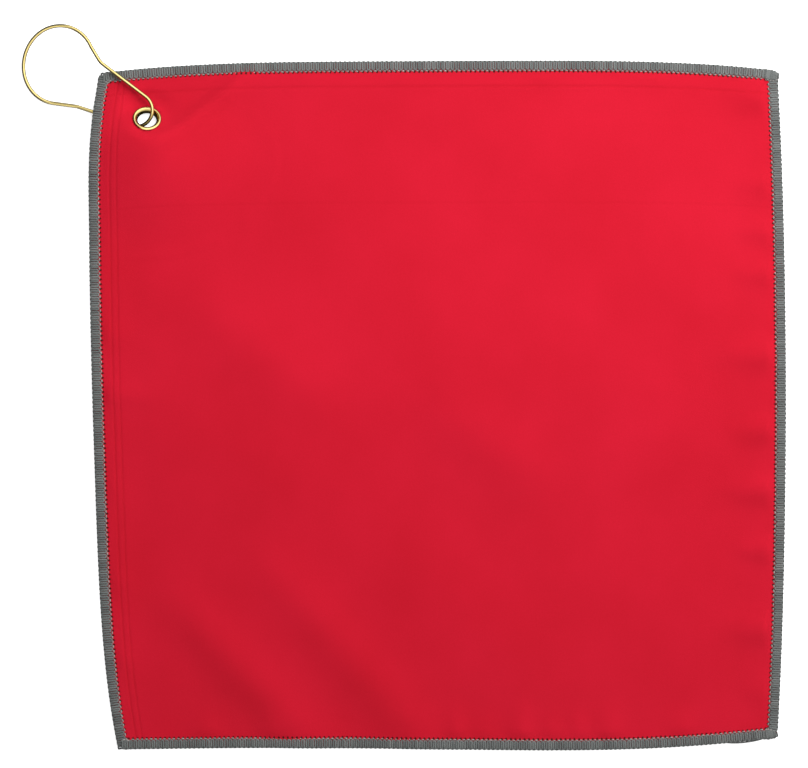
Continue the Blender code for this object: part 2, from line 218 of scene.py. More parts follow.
def swell_height():
    """Height that lifts the left edge of the towel over the hook's lower leg."""
    kink = hook_point(*BACK_KINK)
    catch = hook_point(CATCH_PLACE, PIN_B - WIRE_REACH)
    edge_x = float(outline(-1.0, GROMMET.y / HALF_HEIGHT)[0]) + SEAM_WIDTH / 2
    crossing = kink.lerp(catch, (edge_x - kink.x) / (catch.x - kink.x))
    share = float(swell_share(crossing.x + SEAM_WIDTH / 2, crossing.y))
    return (crossing.z + WIRE_RADIUS + SWELL_CLEARANCE) / share


SWELL_HEIGHT = swell_height()


def edge_inset(across, up):
    """Distance of a place from the nearest edge of the towel."""
    return np.minimum((1 - np.abs(across)) * HALF_WIDTH, (1 - np.abs(up)) * HALF_HEIGHT)


def frame_height(across, up):
    """Height of the middle of the cloth, as the CAD model has it."""
    across_limit = 1 - CROSSING_INSET / HALF_WIDTH
    up_limit = 1 - CROSSING_INSET / HALF_HEIGHT
    x, y = outline(across, up)
    x = np.clip(x, outline(-across_limit, up)[0], outline(across_limit, up)[0])
    y = np.clip(y, outline(across, -up_limit)[1], outline(across, up_limit)[1])
    settle = smooth((edge_inset(across, up) - CROSSING_INSET) / SETTLE_LENGTH)
    level = SEAM_OUTER + (CLOTH_THICKNESS / 2 - SEAM_OUTER) * settle
    level = level + SWELL_HEIGHT * swell_share(x, y)
    reach = np.hypot(x - GROMMET.x, y - GROMMET.y)
    lean = GROMMET_NORMAL.x * (x - GROMMET.x) + GROMMET_NORMAL.y * (y - GROMMET.y)
    lean = lean * np.minimum(1.0, TILT_REACH / np.maximum(reach, TILT_REACH / 2))
    tilted = GROMMET.z - lean / GROMMET_NORMAL.z
    bearing = np.arctan2(y - GROMMET.y, x - GROMMET.x)
    open_side = smooth(0.5 + 0.75 * np.cos(bearing - OPEN_BEARING))
    blend = GROMMET_BLEND + OPEN_BLEND * open_side
    away = smooth((reach - GROMMET_RADIUS - FLAT_AROUND_GROMMET) / blend)
    height = tilted * (1 - away) + level * away
    floor = CLOTH_THICKNESS / 2 + FLOOR_CLEARANCE
    lifted = (height + floor + np.sqrt((height - floor) ** 2 + FLOOR_SOFTNESS ** 2)) / 2
    return np.where(away < 1, lifted, level)


print("swell over the hook's leg", round(SWELL_HEIGHT / MM, 2), "mm")

# %% [markdown]
# ## Folds, puckers and waves
# Real cloth that was folded away and laid out again keeps long soft ridges, short
# puckers where the seam gathers it, and slow waves. A cloth simulation could make
# some like these, but not these ones. So each ridge is written down as a maker sees
# it: where it starts and ends, how wide it is and how high. Its cross-section is a
# bell curve, and it dies away at both ends. The waves are a few crossed sines.

# %% Ridges
# Each ridge: start x, start y, end x, end y, half width, height, all in mm
LONG_RIDGES = [
    (-150, 70, -46, -14, 13, 1.9),
    (-14, 10, 72, -54, 12, 1.6),
    (-165, -88, -45, -214, 9, 2.3),
    (-115, -66, 22, -219, 10, 2.3),
    (-40, -60, 70, -160, 16, 1.0),
    (-120, -10, -60, -60, 18, 1.0),
    (100, 100, 178, 40, 20, 1.0),
    (-330, 12, 330, 6, 42, 3.0),
]
CORNER_CREASE = (-170, 131, -92, 193, 3.6, 2.4)
# Each pucker: distance along its edge from the middle, length, half width, height
RIGHT_PUCKERS = [
    (170, 30, 5.5, 2.4), (122, 30, 5.0, 1.6), (96, 28, 4.5, 1.9), (73, 32, 5.0, 2.0),
    (28, 44, 6.0, 2.5), (-14, 32, 5.0, 2.0), (-47, 38, 5.0, 2.3), (-80, 30, 4.5, 2.0),
    (-124, 38, 6.0, 2.3), (-158, 22, 5.0, 1.2),
]
BOTTOM_PUCKERS = [
    (-128, 20, 5.0, 1.0), (-92, 18, 4.5, 0.9), (10, 26, 4.0, 1.4), (25, 18, 3.5, 0.8),
    (46, 30, 4.5, 1.4), (63, 20, 3.5, 0.9), (78, 24, 3.5, 1.0), (95, 28, 5.0, 1.4),
    (134, 20, 5.0, 1.0),
]
LEFT_PUCKERS = [
    (92, 14, 5.0, 0.6), (40, 24, 5.0, 1.0), (6, 44, 5.0, 1.3), (-46, 14, 5.0, 0.6),
    (-98, 20, 5.0, 0.9), (-140, 16, 4.5, 0.9),
]
TOP_PUCKERS = [
    (-70, 12, 5.0, 0.6), (-20, 14, 6.0, 0.6), (60, 12, 5.0, 0.6), (120, 14, 6.0, 0.9),
]
HOOK_CALM = 62 * MM


def ridge(x, y, sizes):
    """A bell-shaped ridge from start to end that dies away at its two ends."""
    start_x, start_y, end_x, end_y, half_width, height = (value * MM for value in sizes)
    start = (start_x, start_y)
    run = np.array((end_x - start_x, end_y - start_y))
    length = math.hypot(*run)
    along = ((x - start[0]) * run[0] + (y - start[1]) * run[1]) / length ** 2
    aside = ((y - start[1]) * run[0] - (x - start[0]) * run[1]) / length
    fade = smooth(along / 0.35) * smooth((1 - along) / 0.35)
    return height * fade * np.exp(-((aside / half_width) ** 2) / 2)


def edge_pucker(along, inset, pucker):
    """A short ridge that starts at the seam and runs straight in from it."""
    place, length, half_width, height = (value * MM for value in pucker)
    rise = smooth((inset - SEAM_WIDTH) / (5 * MM)) * smooth((SEAM_WIDTH + length - inset) / length)
    return height * rise * np.exp(-(((along - place) / half_width) ** 2) / 2)


def waves(x, y):
    """Slow waves, never more than about a millimetre."""
    first = np.sin(x / (31 * MM) + 1.3 * np.sin(y / (47 * MM)))
    second = np.sin(y / (37 * MM) + 0.8 * np.sin(x / (29 * MM) + 1.0))
    third = np.sin((x + y) / (19 * MM) + 2.0 * np.sin((x - y) / (83 * MM)))
    return (0.25 * first + 0.22 * second + 0.12 * third + 0.6) * MM


def cloth_height(across, up):
    """Height of the middle of the dressed cloth at places (across, up)."""
    x, y = outline(across, up)
    extra = sum(ridge(x, y, sizes) for sizes in LONG_RIDGES)
    edges = [
        (LEFT_PUCKERS, (across + 1) * HALF_WIDTH, y),
        (RIGHT_PUCKERS, (1 - across) * HALF_WIDTH, y),
        (TOP_PUCKERS, (1 - up) * HALF_HEIGHT, x),
        (BOTTOM_PUCKERS, (up + 1) * HALF_HEIGHT, x),
    ]
    for puckers, inset, along in edges:
        extra = extra + sum(edge_pucker(along, inset, pucker) for pucker in puckers)
    off_seam = smooth((edge_inset(across, up) - CROSSING_INSET) / (30 * MM))
    extra = extra + waves(x, y) * (0.25 + 0.75 * off_seam)
    calm = np.hypot(x - GROMMET.x, y - GROMMET.y)
    extra = extra * smooth((calm - 0.4 * HOOK_CALM) / HOOK_CALM)
    return frame_height(across, up) + extra + ridge(x, y, CORNER_CREASE)


print("ridges", len(LONG_RIDGES), "puckers", len(RIGHT_PUCKERS) + len(BOTTOM_PUCKERS))

# %% [markdown]
# ## Writing shader maths as Python
# A material is a net of small nodes. Placing dozens of Math nodes by hand hides what
# they work out, so one small class holds a socket and turns + - * / into Math nodes.
# Everything that isn't a sum comes from node(), which adds any node that there is.

# %% A class for shader values
class Shade:
    """A value in a material. Arithmetic on it adds Math nodes."""

    def __init__(self, socket):
        self.socket = socket

    def node(self, kind, settings=(), sockets=(), out=0):
        """Adds a node: its settings first, then the values or links of its sockets."""
        tree = self.socket.id_data
        made = tree.nodes.new(kind)
        for name, value in dict(settings).items():
            if name == "stops":
                fill_ramp(made.color_ramp, value)
            else:
                setattr(made, name, value)
        for key, value in dict(sockets).items():
            if isinstance(value, Shade):
                tree.links.new(value.socket, made.inputs[key])
            else:
                made.inputs[key].default_value = value
        return Shade(made.outputs[out])

    def maths(self, operation, first, second=0.0):
        return self.node("ShaderNodeMath", {"operation": operation}, {0: first, 1: second})

    def most(self, other):
        return self.maths("MAXIMUM", self, other)

    def least(self, other):
        return self.maths("MINIMUM", self, other)

    def vector(self, operation, first, second=(0, 0, 0), out=0):
        sockets = {0: first, 1: second}
        return self.node("ShaderNodeVectorMath", {"operation": operation}, sockets, out)

    def axis(self, number):
        """The x, y or z of a vector, by its number."""
        return self.node("ShaderNodeSeparateXYZ", {}, {0: self}, number)

    def __add__(self, other):
        return self.maths("ADD", self, other)

    def __sub__(self, other):
        return self.maths("SUBTRACT", self, other)

    def __rsub__(self, other):
        return self.maths("SUBTRACT", other, self)

    def __mul__(self, other):
        return self.maths("MULTIPLY", self, other)

    def __truediv__(self, other):
        return self.maths("DIVIDE", self, other)

    def __rtruediv__(self, other):
        return self.maths("DIVIDE", other, self)

    __radd__ = __add__
    __rmul__ = __mul__


def fill_ramp(ramp, stops):
    """Gives a colour ramp its stops, a list of (place, colour)."""
    while len(ramp.elements) < len(stops):
        ramp.elements.new(1.0)
    for element, (place, colour) in zip(ramp.elements, stops):
        element.position = place
        element.color = (*colour, 1.0)


def new_material(name, **constants):
    """A Principled material, its constant sockets set, and a Shade to build on."""
    material = bpy.data.materials.new(name)
    material.use_nodes = True
    shader = material.node_tree.nodes["Principled BSDF"]
    for socket, value in constants.items():
        shader.inputs[socket.replace("_", " ")].default_value = value
    start = Shade(material.node_tree.nodes.new("ShaderNodeTexCoord").outputs["Object"])
    return material, shader, start


def feed(shader, **links):
    """Links Shades to the named sockets of the Principled shader."""
    for socket, value in links.items():
        shader.id_data.links.new(value.socket, shader.inputs[socket.replace("_", " ")])


def blend_colours(start, factor, low, high):
    """Mixes two colours, each a plain colour or a Shade."""
    ends = [end if isinstance(end, Shade) else (*end, 1.0) for end in (low, high)]
    return start.node(
        "ShaderNodeMix", {"data_type": "RGBA"}, {0: factor, 6: ends[0], 7: ends[1]}, 2
    )


def noise(start, where, scale, detail=2.0, roughness=0.5):
    """Noise from 0 to 1 with features of about 1/scale metres."""
    sockets = {"Vector": where, "Scale": scale, "Detail": detail, "Roughness": roughness}
    return start.node("ShaderNodeTexNoise", {}, sockets)


def relief(start, height, distance, strength=1.0, under=None):
    """A bump of that height in metres, on top of another one if it is given."""
    sockets = {"Height": height, "Distance": distance, "Strength": strength}
    if under:
        sockets["Normal"] = under
    return start.node("ShaderNodeBump", {}, sockets)


print("shader tools ready")

# %% [markdown]
# ## Red microfibre
# The towel is a fine warp-knit microfibre with a short nap: rows of tiny loops under
# a haze of fibres. The pattern has to follow the cloth over its folds, so it reads
# the cloth's own map, which holds each point's place on the flat towel in metres.
# The knit and the nap are relief only, because their colour is the same red. The
# colour itself drifts a little: broad soft patches where the nap lies one way or the
# other, and a fine grain. Faint press lines beside the seams and across the towel are
# left from when it was folded: each is a shallow dent in the relief, and its colour is
# also painted a little darker as shade. Round each needle hole the cloth is drawn in as
# a dent, and the hole is painted near black as shade. The cloth under the seam is
# painted dark as the shade that the threads cast on it.

# %% Cloth material
STITCH = 2.64 * MM
NEEDLE_LINE = 5.45 * MM
COLUMN = 0.72 * MM
ROW = 0.95 * MM
HOLE_LINE = NEEDLE_LINE + 0.42 * MM
HOLE_HALF_LENGTH = 0.80 * MM
HOLE_HALF_WIDTH = 0.90 * MM
COVERED_BY_SEAM = 5.1 * MM
# Each press line: the axis it crosses, its place there, half width, strength
PRESS_LINES = [
    (0, 11.6 * MM - HALF_WIDTH, 1.1 * MM, 1.0), (0, 15.2 * MM - HALF_WIDTH, 1.1 * MM, 0.8),
    (1, HALF_HEIGHT - 14 * MM, 1.4 * MM, 0.7), (1, 112 * MM, 1.5 * MM, 0.28),
]


def line_at(start, value, place, half_width):
    """1 on a line where value is place, falling to 0 at half_width from it."""
    away = start.maths("ABSOLUTE", value - place) / half_width
    return (1 - away).most(0.0)


def hole_spots(start, from_edge, beside):
    """1 at each needle hole of a pair of edges, falling to 0 around it."""
    turn = start.maths("FRACT", beside / STITCH + 0.5) - 0.5
    along = turn * (STITCH / HOLE_HALF_LENGTH)
    away = (from_edge - HOLE_LINE) / HOLE_HALF_WIDTH
    round_away = start.maths("SQRT", along * along + away * away)
    return (1 - round_away).most(0.0)


def cloth_material():
    material, shader, start = new_material(
        "red_microfibre", Roughness=0.82, Specular_IOR_Level=0.12,
        Sheen_Weight=0.08, Sheen_Roughness=0.45, Sheen_Tint=(1.0, 0.20, 0.28, 1.0),
    )
    place = start.node("ShaderNodeUVMap", {"uv_map": "weave"})
    u = place.axis(0)
    v = place.axis(1)
    patches = noise(start, place, 14.0, 3.0, 0.55)
    grain = noise(start, place, 900.0, 2.0, 0.6)
    nap = noise(start, place, 2600.0, 2.0, 0.6)
    columns = start.maths("SINE", u * (2 * math.pi / COLUMN) + grain * 2.0)
    rows = start.maths("SINE", v * (2 * math.pi / ROW) + grain * 3.0)
    knit = (columns * rows) * 0.35 + nap * 0.9 + grain * 0.5

    from_side = HALF_WIDTH - start.maths("ABSOLUTE", u)
    from_end = HALF_HEIGHT - start.maths("ABSOLUTE", v)
    holes = hole_spots(start, from_side, v).most(hole_spots(start, from_end, u))
    press = u * 0.0
    for axis, line, half_width, strength in PRESS_LINES:
        press = press.most(line_at(start, (u, v)[axis], line, half_width) * strength)

    # The press lines take some tone off the red: painted shade along the creases.
    tone = (patches - 0.5) * 0.9 + (grain - 0.5) * 0.55 + 0.5 - press * 0.26
    colour = blend_colours(start, tone, (0.395, 0.0042, 0.0130), (0.515, 0.0078, 0.0262))
    # Painted shade: the cloth under the seam is darkened, as the threads shade it.
    seam_shade = start.maths("LESS_THAN", from_side.least(from_end), COVERED_BY_SEAM) * 0.6
    colour = blend_colours(start, seam_shade, colour, (0.060, 0.016, 0.018))
    # Painted shade: each needle hole is painted near black, as the shade inside it.
    colour = blend_colours(start, (holes * 1.9).least(1.0), colour, (0.045, 0.009, 0.008))
    dents = relief(start, 1 - holes, 0.5 * MM)
    creases = relief(start, 1 - press, 0.14 * MM, 1.0, dents)
    feed(
        shader, Base_Color=colour, Roughness=0.78 + grain * 0.12,
        Normal=relief(start, knit, 0.16 * MM, 0.75, creases),
    )
    return material


microfibre = cloth_material()
print(microfibre.name, len(microfibre.node_tree.nodes), "nodes")

# %% [markdown]
# ## The cloth
# The cloth is one sheet, a millimetre thick. A square grid is bent into the outline
# and lifted to its heights, then Solidify gives it a front and a back. A grid is the
# plain choice here, because the towel is one flat cut with no seams in it, and its
# squares carry the map of the weave without any stretch. The hole for the eyelet is
# made by leaving out the squares there and drawing the rim of the gap into a circle,
# which the eyelet's flange then covers.

# %% Cloth mesh
GRID_CELLS = 190
CLOTH_INSET = 0.6 * MM
CORNER_RADIUS = 4.0 * MM
HOLE_RADIUS = 6.2 * MM


def finished(name, mesh, body):
    """An object at the origin that rides on a CAD body."""
    piece = placed(name, mesh)
    if body:
        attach(piece, body)
    return piece


def plain_mesh(obj, name):
    """The evaluated mesh of an object, with its modifiers worked in."""
    bpy.context.view_layer.update()
    evaluated = obj.evaluated_get(bpy.context.evaluated_depsgraph_get())
    mesh = bpy.data.meshes.new_from_object(evaluated)
    mesh.name = name
    bpy.data.objects.remove(obj, do_unlink=True)
    return mesh


def rounded_corners(across, up):
    """Draws the square corners of the grid in to round ones."""
    share_x = (np.abs(across) - 1) * HALF_WIDTH / CORNER_RADIUS + 1
    share_y = (np.abs(up) - 1) * HALF_HEIGHT / CORNER_RADIUS + 1
    in_corner = (share_x > 0) & (share_y > 0)
    reach = np.where(in_corner, np.hypot(share_x, share_y), 1.0)
    squash = np.where(in_corner, np.maximum(share_x, share_y) / reach, 1.0) - 1
    across = across + np.sign(across) * share_x * squash * CORNER_RADIUS / HALF_WIDTH
    up = up + np.sign(up) * share_y * squash * CORNER_RADIUS / HALF_HEIGHT
    return across, up


def cloth_grid():
    """Grid of the cloth's middle layer, with its weave map."""
    side = GRID_CELLS + 1
    places = np.linspace(-1.0, 1.0, side)
    across, up = np.meshgrid(
        places * (1 - CLOTH_INSET / HALF_WIDTH), places * (1 - CLOTH_INSET / HALF_HEIGHT)
    )
    across, up = rounded_corners(across.ravel(), up.ravel())
    x, y = outline(across, up)
    points = np.column_stack([x, y, cloth_height(across, up)])
    corner = np.arange(side * side).reshape(side, side)
    faces = np.column_stack([
        corner[:-1, :-1].ravel(), corner[:-1, 1:].ravel(),
        corner[1:, 1:].ravel(), corner[1:, :-1].ravel(),
    ])
    reach = np.hypot(x - GROMMET.x, y - GROMMET.y)
    faces = faces[reach[faces].min(axis=1) > HOLE_RADIUS * 0.86]
    mesh = bpy.data.meshes.new("cloth_grid")
    mesh.from_pydata(points.tolist(), [], faces.tolist())
    weave = mesh.uv_layers.new(name="weave")
    loops = faces.ravel()
    flat = np.column_stack([across[loops] * HALF_WIDTH, up[loops] * HALF_HEIGHT])
    weave.data.foreach_set("uv", flat.ravel())
    return mesh


def round_the_hole(mesh):
    """Draws the rim of the gap in the grid into a circle and drops loose points."""
    bm = bmesh.new()
    bm.from_mesh(mesh)
    loose = [vertex for vertex in bm.verts if not vertex.link_faces]
    bmesh.ops.delete(bm, geom=loose, context="VERTS")
    for vertex in bm.verts:
        offset = vertex.co - GROMMET
        flat = math.hypot(offset.x, offset.y)
        if vertex.is_boundary and flat < 2 * HOLE_RADIUS:
            offset *= HOLE_RADIUS / flat
            lean = GROMMET_NORMAL.x * offset.x + GROMMET_NORMAL.y * offset.y
            offset.z = -lean / GROMMET_NORMAL.z
            vertex.co = GROMMET + offset
    bm.to_mesh(mesh)
    bm.free()


def make_cloth():
    mesh = cloth_grid()
    round_the_hole(mesh)
    mesh.materials.append(microfibre)
    sheet = placed("cloth_grid", mesh)
    solidify = sheet.modifiers.new("thickness", "SOLIDIFY")
    solidify.thickness = CLOTH_THICKNESS
    solidify.offset = 0
    solid = plain_mesh(sheet, "towel_cloth_sheet")
    solid.shade_smooth()
    cloth = finished("towel_cloth_sheet", solid, "towel")
    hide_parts("towel_cloth")
    return cloth


cloth = make_cloth()
print("cloth faces", len(cloth.data.polygons))

# %% [markdown]
# ## Grey overlock thread
# Overlock thread is textured polyester: a loose bundle of crimped fibres, matt and
# hairy, in a cool mid grey. The strands get two values from the tree that makes them,
# the length along the strand and the direction round it, so fine twisted ridges can
# be drawn along each strand however it bends. A patchy lightness per stitch keeps
# hundreds of stitches from looking stamped.

# %% Thread material
TWIST_LENGTH = 1.1 * MM


def thread_material(name, dark, light):
    material, shader, start = new_material(
        name, Roughness=0.85, Specular_IOR_Level=0.3,
        Sheen_Weight=0.15, Sheen_Roughness=0.5,
    )
    along = start.node("ShaderNodeAttribute", {"attribute_name": "along"}, {}, 2)
    tone = start.node("ShaderNodeAttribute", {"attribute_name": "tone"}, {}, 2)
    section = start.node("ShaderNodeAttribute", {"attribute_name": "section"}, {}, 1)
    angle = start.maths("ARCTAN2", section.axis(1), section.axis(0))
    crimp = noise(start, start, 2200.0, 3.0, 0.65)
    twist = start.maths("SINE", angle * 3.0 + along * (2 * math.pi / TWIST_LENGTH) + crimp * 2.5)
    fibres = twist * 0.30 + crimp * 0.9
    lightness = fibres * 0.38 + tone * 0.34 + 0.10
    feed(
        shader, Base_Color=blend_colours(start, lightness, dark, light),
        Roughness=0.74 + crimp * 0.2, Normal=relief(start, fibres, 0.14 * MM, 0.8),
    )
    return material


looper_grey = thread_material("grey_looper_thread", (0.062, 0.068, 0.066), (0.190, 0.200, 0.194))
# The lower looper thread is the same grey, painted darker as the shade it lies in under the rim.
shaded_under_grey = thread_material("grey_under_thread_painted_shade", (0.028, 0.031, 0.030), (0.100, 0.107, 0.103))
needle_grey = thread_material("grey_needle_thread", (0.135, 0.130, 0.124), (0.380, 0.362, 0.345))
print(looper_grey.name, shaded_under_grey.name, needle_grey.name)

# %% [markdown]
# ## One tree for every stitch
# An overlocked edge is sewn with three continuous threads. The upper looper thread
# zigzags over the face from the needle holes to the rim. The lower looper thread does
# the same under the back, and the two lock together along the rim. The needle thread
# lies over the holes in short stitches and dips into each one.
#
# Hundreds of copies of one stitch could be set side by side, but real thread runs on
# from stitch to stitch. So Geometry Nodes take a rail, which has a dozen points for
# each stitch, and move each point by three curves of its phase in the stitch: how
# far in from the rim, how high, and how far along. The moved rail is swept with a
# round section. One tree then makes every thread, and only its curves differ.

# %% The stitch tree
POINTS_PER_STITCH = 12
THREAD_SIDES = 6


def add_inputs(tree, sizes):
    """Names the inputs of a tree, and gives it one rail in and one mesh out."""
    tree.interface.new_socket("Rail", in_out="INPUT", socket_type="NodeSocketGeometry")
    for name, kind in sizes.items():
        tree.interface.new_socket(name, in_out="INPUT", socket_type=f"NodeSocket{kind}")
    tree.interface.new_socket("Mesh", in_out="OUTPUT", socket_type="NodeSocketGeometry")
    group_in = tree.nodes.new("NodeGroupInput")
    return {socket.name: Shade(socket) for socket in group_in.outputs if socket.name}


def phase_curve(phase, points):
    """A Float Curve through the given points, each from 0 to 1."""
    shaped = phase.node("ShaderNodeFloatCurve", {}, {"Value": phase})
    mapping = shaped.socket.node.mapping
    curve = mapping.curves[0]
    while len(curve.points) < len(points):
        curve.points.new(0.5, 0.5)
    for point, place in zip(curve.points, points):
        point.location = place
    mapping.update()
    return shaped


def store(geometry, name, value, kind="FLOAT"):
    settings = {"data_type": kind, "domain": "POINT"}
    sockets = {"Geometry": geometry, "Name": name, "Value": value}
    return geometry.node("GeometryNodeStoreNamedAttribute", settings, sockets)


def scaled(vector, factor):
    return vector.node("ShaderNodeVectorMath", {"operation": "SCALE"}, {0: vector, 3: factor})


def sweep(rail, radius, sides, material):
    """Sweeps a round section along a rail, and ends the tree."""
    length = rail.node("GeometryNodeSplineParameter", {}, {}, 1)
    rail = store(rail, "along", length)
    section = rail.node(
        "GeometryNodeCurvePrimitiveCircle", {"mode": "RADIUS"},
        {"Resolution": sides, "Radius": radius},
    )
    position = rail.node("GeometryNodeInputPosition")
    section = store(section, "section", scaled(position, 1 / radius), "FLOAT_VECTOR")
    tube = rail.node(
        "GeometryNodeCurveToMesh", {}, {"Curve": rail, "Profile Curve": section, "Fill Caps": True}
    )
    tube = tube.node("GeometryNodeSetShadeSmooth", {}, {"Geometry": tube})
    tube = tube.node("GeometryNodeRealizeInstances", {}, {"Geometry": tube})
    tube = tube.node("GeometryNodeSetMaterial", {}, {"Geometry": tube, "Material": material})
    group_out = tube.socket.id_data.nodes.new("NodeGroupOutput")
    tube.socket.id_data.links.new(tube.socket, group_out.inputs["Mesh"])


def random_number(start, low, high, number, seed):
    sockets = {2: low, 3: high, "ID": number, "Seed": seed}
    return start.node("FunctionNodeRandomValue", {"data_type": "FLOAT"}, sockets, 1)


def stitch_tree(name, material, depth, height, advance):
    """Tree that turns a rail along a towel's rim into one continuous sewn thread."""
    tree = bpy.data.node_groups.new(name, "GeometryNodeTree")
    sizes = add_inputs(tree, {
        "Stitch length": "Float", "Needle line": "Float", "Lowest": "Float",
        "Highest": "Float", "Shift": "Float", "Thread radius": "Float",
        "Unevenness": "Float", "Seed": "Int",
    })
    rail = sizes["Rail"].node("GeometryNodeMeshToCurve", {}, {"Mesh": sizes["Rail"]})
    index = rail.node("GeometryNodeInputIndex")
    turn = index / POINTS_PER_STITCH
    phase = rail.maths("FRACT", turn)
    number = rail.maths("FLOOR", turn)
    uneven = random_number(rail, -1.0, 1.0, number, sizes["Seed"]) * sizes["Unevenness"]
    wander = random_number(rail, -0.25, 0.25, index, sizes["Seed"]) * sizes["Unevenness"]
    reach = rail.node("GeometryNodeInputNamedAttribute", {"data_type": "FLOAT"}, {"Name": "reach"})
    drift = rail.node("GeometryNodeInputNamedAttribute", {"data_type": "FLOAT"}, {"Name": "drift"})

    inwards_by = phase_curve(phase, depth) * (sizes["Needle line"] + uneven) * reach + drift
    rise = sizes["Highest"] - sizes["Lowest"]
    upwards_by = sizes["Lowest"] + phase_curve(phase, height) * rise + wander
    onwards = phase_curve(phase, advance) - phase + sizes["Shift"]
    onwards_by = onwards * sizes["Stitch length"] + uneven * 0.6
    tangent = rail.node("GeometryNodeInputTangent")
    upwards = rail.node("ShaderNodeCombineXYZ", {}, {2: upwards_by})
    inwards = rail.vector("CROSS_PRODUCT", (0, 0, 1), tangent)
    offset = rail.vector("ADD", scaled(inwards, inwards_by), scaled(tangent, onwards_by))
    offset = rail.vector("ADD", offset, upwards)
    moved = rail.node("GeometryNodeSetPosition", {}, {"Geometry": rail, "Offset": offset})
    toned = store(moved, "tone", random_number(rail, 0.0, 1.0, number, sizes["Seed"] + 5))
    sweep(toned, sizes["Thread radius"], THREAD_SIDES, material)
    return tree


upper_looper = stitch_tree(
    "upper_looper_stitches", looper_grey,
    depth=[(0, 1), (0.08, 0.94), (0.40, 0.16), (0.5, 0.10), (0.60, 0.16), (0.92, 0.94), (1, 1)],
    height=[(0, 0.82), (0.12, 1), (0.36, 1), (0.5, 0.30), (0.64, 1), (0.88, 1), (1, 0.82)],
    advance=[(0, 0), (0.08, 0.22), (0.42, 0.27), (0.5, 0.5), (0.58, 0.73), (0.92, 0.78), (1, 1)],
)
lower_looper = stitch_tree(
    "lower_looper_stitches", shaded_under_grey,
    depth=[(0, 1), (0.08, 0.94), (0.38, 0.08), (0.5, 0.04), (0.62, 0.08), (0.92, 0.94), (1, 1)],
    height=[(0, 0.1), (0.12, 0), (0.34, 0.4), (0.5, 1), (0.66, 0.4), (0.88, 0), (1, 0.1)],
    advance=[(0, 0), (0.08, 0.20), (0.38, 0.24), (0.5, 0.5), (0.62, 0.76), (0.92, 0.80), (1, 1)],
)
needle_stitches = stitch_tree(
    "needle_stitches", needle_grey,
    depth=[(0, 1), (0.25, 0.97), (0.5, 0.95), (0.75, 0.97), (1, 1)],
    height=[(0, 0), (0.24, 0.12), (0.36, 0.85), (0.5, 1), (0.64, 0.85), (0.76, 0.12), (1, 0)],
    advance=[(0, 0), (0.25, 0.25), (0.75, 0.75), (1, 1)],
)
print("stitch trees", [tree.name for tree in bpy.data.node_groups])

# %% [markdown]
# ## Rails round the towel
# The sewing starts at the top of the left side and runs down it, and the top and
# bottom rows start beside it and run off the right side in short chain tails, over
# the ends of the right row. Every rail goes anticlockwise round the towel, so that
# inwards is always on its left. The needle holes lie at whole stitches from the
# middle of each side, the same places at which the cloth's material has its holes.
# At a chain tail no cloth holds the stitches apart, so they close up into a blunt end.

# %% Rails
TOP_STITCHES = (75, -72)
BOTTOM_STITCHES = (-72, 74)
LEFT_STITCHES = (72, -72)
RIGHT_STITCHES = (-71, 71)
TAIL_FROM = 70
TAIL_CLOSENESS = 0.60
TAIL_TIP = 2.0
CROSSING_LIFT = 0.7 * MM


def stitch_rail(side, first, last, tail_width):
    """Line of points from stitch first to stitch last along a side of the towel."""
    count = abs(last - first) * POINTS_PER_STITCH + 1
    stitches = np.linspace(first, last, count)
    in_tail = np.maximum(stitches - TAIL_FROM, 0) * (side in ("top", "bottom"))
    places = (stitches - in_tail * (1 - TAIL_CLOSENESS)) * STITCH
    fixed = np.ones(count)
    across, up = {
        "left": (-fixed, places / HALF_HEIGHT), "right": (fixed, places / HALF_HEIGHT),
        "top": (places / HALF_WIDTH, fixed), "bottom": (places / HALF_WIDTH, -fixed),
    }[side]
    x, y = outline(across, up)
    over_left = np.maximum(-stitches - TAIL_FROM, 0) * (side in ("top", "bottom"))
    height = cloth_height(across, up) + CROSSING_LIFT * smooth((in_tail + over_left) / 0.8)
    points = np.column_stack([x, y, height])
    tail = smooth(in_tail / (max(first, last) - TAIL_FROM))
    width = 1 + (tail_width - 1) * tail
    tip = np.clip((stitches - max(first, last)) / TAIL_TIP + 1, 0, 1) * (in_tail > 0)
    reach = width * np.sqrt(1 - 0.97 * tip ** 2)
    drift = (width - reach) * NEEDLE_LINE / 2
    return row_mesh(f"{side}_rail", points.tolist(), reach=reach, drift=drift)


def grow(name, mesh, tree, sizes):
    """Runs a tree on a mesh with its named sizes, and returns the plain mesh."""
    obj = placed(name, mesh)
    modifier = obj.modifiers.new(name, "NODES")
    modifier.node_group = tree
    for socket in tree.interface.items_tree:
        if socket.name in sizes:
            modifier[socket.identifier] = sizes[socket.name]
    return plain_mesh(obj, name)


sides = {
    "top": (*TOP_STITCHES, 1.15), "bottom": (*BOTTOM_STITCHES, 0.88),
    "left": (*LEFT_STITCHES, 1.0), "right": (*RIGHT_STITCHES, 1.0),
}
threads = {
    "upper_looper_thread": (upper_looper, {
        "Needle line": 4.65 * MM, "Lowest": 0.10 * MM, "Highest": 0.84 * MM,
        "Shift": 0.0, "Thread radius": 0.62 * MM, "Unevenness": 0.12 * MM,
    }),
    "lower_looper_thread": (lower_looper, {
        "Needle line": 5.05 * MM, "Lowest": -0.78 * MM, "Highest": 0.55 * MM,
        "Shift": 0.5, "Thread radius": 0.50 * MM, "Unevenness": 0.12 * MM,
    }),
    "needle_thread": (needle_stitches, {
        "Needle line": 5.55 * MM, "Lowest": -0.30 * MM, "Highest": 0.72 * MM,
        "Shift": 0.0, "Thread radius": 0.40 * MM, "Unevenness": 0.08 * MM,
    }),
}
seams = []
